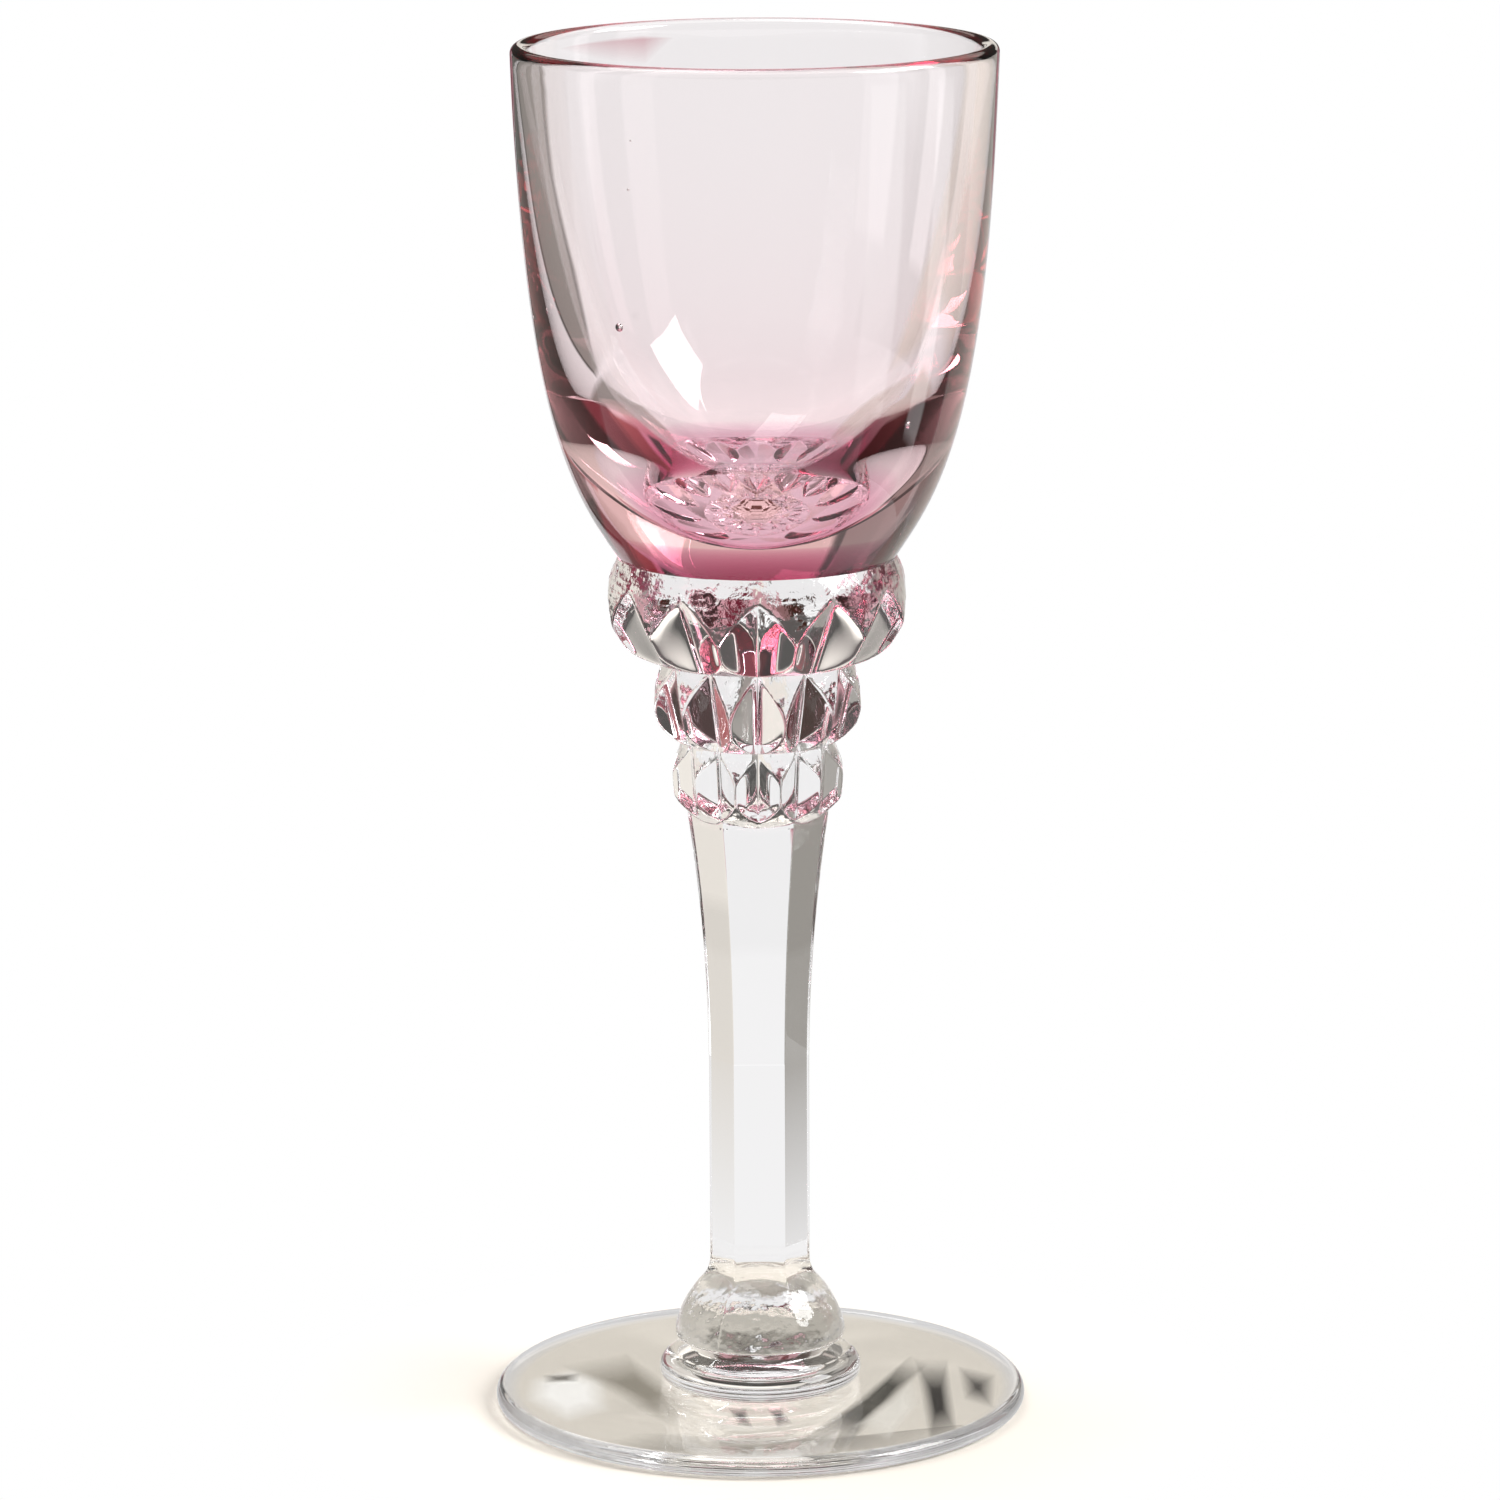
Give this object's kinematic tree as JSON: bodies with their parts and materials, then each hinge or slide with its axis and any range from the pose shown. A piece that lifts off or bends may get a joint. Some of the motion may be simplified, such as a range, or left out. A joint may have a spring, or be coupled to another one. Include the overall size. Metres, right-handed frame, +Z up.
{
  "type": "liqueur glass",
  "caption": "Small stemmed liqueur glass: thick rose-tinted bell bowl on a clear faceted crown, six-sided shaft, flattened bead and round foot.",
  "frame": {"origin": "middle of the foot's flat underside", "axes": "+Z up along the axis of the glass, from foot to rim; -Y faces the viewer with one flat face of the six-sided shaft square to it"},
  "size_m": [0.0488, 0.0488, 0.125],
  "materials": {
    "rose_glass": "clear rose-tinted glass, fire-polished",
    "clear_glass": "clear pressed glass, fire-polished"
  },
  "bodies": {
    "root": {"bowl": "rose_glass", "stem": "clear_glass", "merese": "clear_glass", "foot": "clear_glass"}
  },
  "joints": []
}
